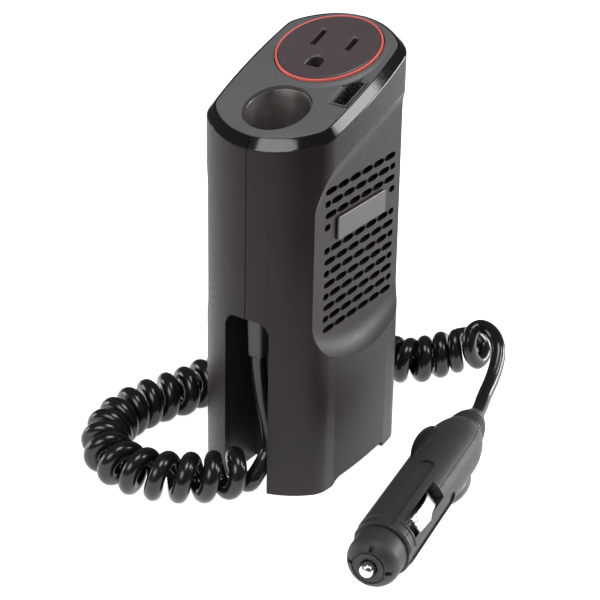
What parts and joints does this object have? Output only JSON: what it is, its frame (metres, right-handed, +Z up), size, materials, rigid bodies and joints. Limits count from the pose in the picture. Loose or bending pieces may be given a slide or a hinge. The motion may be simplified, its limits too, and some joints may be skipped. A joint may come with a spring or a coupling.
{
  "type": "power inverter",
  "caption": "Slim upright vehicle power inverter with a sloping outlet deck, a 12 V socket, a charging port, side grilles and a coiled lead with a fused plug.",
  "frame": {"origin": "centre of the case's footprint, on the surface it stands on", "axes": "+Z up along the case, +X towards the badge side, -Y towards the narrow front with the lead bay"},
  "size_m": [0.1376, 0.1497, 0.1497],
  "materials": {
    "case_plastic": "fine matte moulded plastic, polished on the chamfer round the deck",
    "deck_plastic": "satin grey plastic",
    "outlet_plastic": "satin brown-black plastic",
    "ring_plastic": "coral red gloss",
    "black_plastic": "black plastic",
    "cord_sheath": "glossy black sheath",
    "plug_plastic": "dark grey satin plastic",
    "bright_metal": "bright nickel plate",
    "brushed_metal": "brushed steel liner",
    "brass": "plain brass",
    "board": "green solder mask",
    "aluminium": "mill finish",
    "ferrite": "dull dark ferrite",
    "tape": "yellow winding tape",
    "can_sleeve": "dark blue sleeve",
    "screw_steel": "zinc plated steel",
    "fuse_glass": "clear glass tube"
  },
  "bodies": {
    "inverter": {"left_shell": "case_plastic", "right_shell": "case_plastic", "case_screw_1": "screw_steel", "case_screw_2": "screw_steel", "case_screw_3": "screw_steel", "badge_plate": "outlet_plastic", "top_plate": "deck_plastic", "outlet_ring": "ring_plastic", "outlet_face": "outlet_plastic", "hot_contact": "brass", "neutral_contact": "brass", "ground_contact": "brass", "dc_socket_housing": "black_plastic", "dc_socket_barrel": "brushed_metal", "dc_socket_contact": "brass", "usb_shell": "bright_metal", "usb_tongue": "black_plastic", "cord_bay_liner": "black_plastic", "cord_gland": "black_plastic", "bay_lead": "cord_sheath", "coiled_lead": "cord_sheath", "tail_lead": "cord_sheath", "plug_strain_relief": "plug_plastic", "plug_half_left": "plug_plastic", "plug_half_right": "plug_plastic", "plug_nose_cap": "plug_plastic", "plug_fuse": "fuse_glass", "plug_tip_spring": "screw_steel", "main_board": "board", "transformer_core": "ferrite", "transformer_winding": "tape", "capacitor_1": "can_sleeve", "capacitor_2": "can_sleeve", "capacitor_3": "can_sleeve", "heat_sink": "aluminium", "fan_frame": "black_plastic"},
    "fan": {"fan_rotor": "black_plastic"},
    "tip": {"plug_tip": "bright_metal"},
    "contact_upper": {"plug_side_contact_upper": "bright_metal"},
    "contact_lower": {"plug_side_contact_lower": "bright_metal"}
  },
  "joints": [
    {"name": "fan_spin", "type": "hinge", "parent": "inverter", "child": "fan", "pos_m": [-0.013, 0.0069, 0.066], "axis": [1, 0, 0], "continuous": true},
    {"name": "tip_press", "type": "slide", "parent": "inverter", "child": "tip", "axis": [-0.172, 0.9851, 0], "range_m": [0, 0.003], "stiffness_N_per_m": 500, "springref_m": -0.002},
    {"name": "contact_upper_press", "type": "hinge", "parent": "inverter", "child": "contact_upper", "pos_m": [0.06489, -0.02311, 0.0149], "axis": [0.6398, 0.1117, -0.7604], "range_deg": [0, 9], "stiffness_Nm_per_rad": 0.25, "springref_deg": -11.46},
    {"name": "contact_lower_press", "type": "hinge", "parent": "inverter", "child": "contact_lower", "pos_m": [0.0559, -0.02468, 0.0071], "axis": [-0.6398, -0.1117, 0.7604], "range_deg": [0, 9], "stiffness_Nm_per_rad": 0.25, "springref_deg": -11.46}
  ]
}
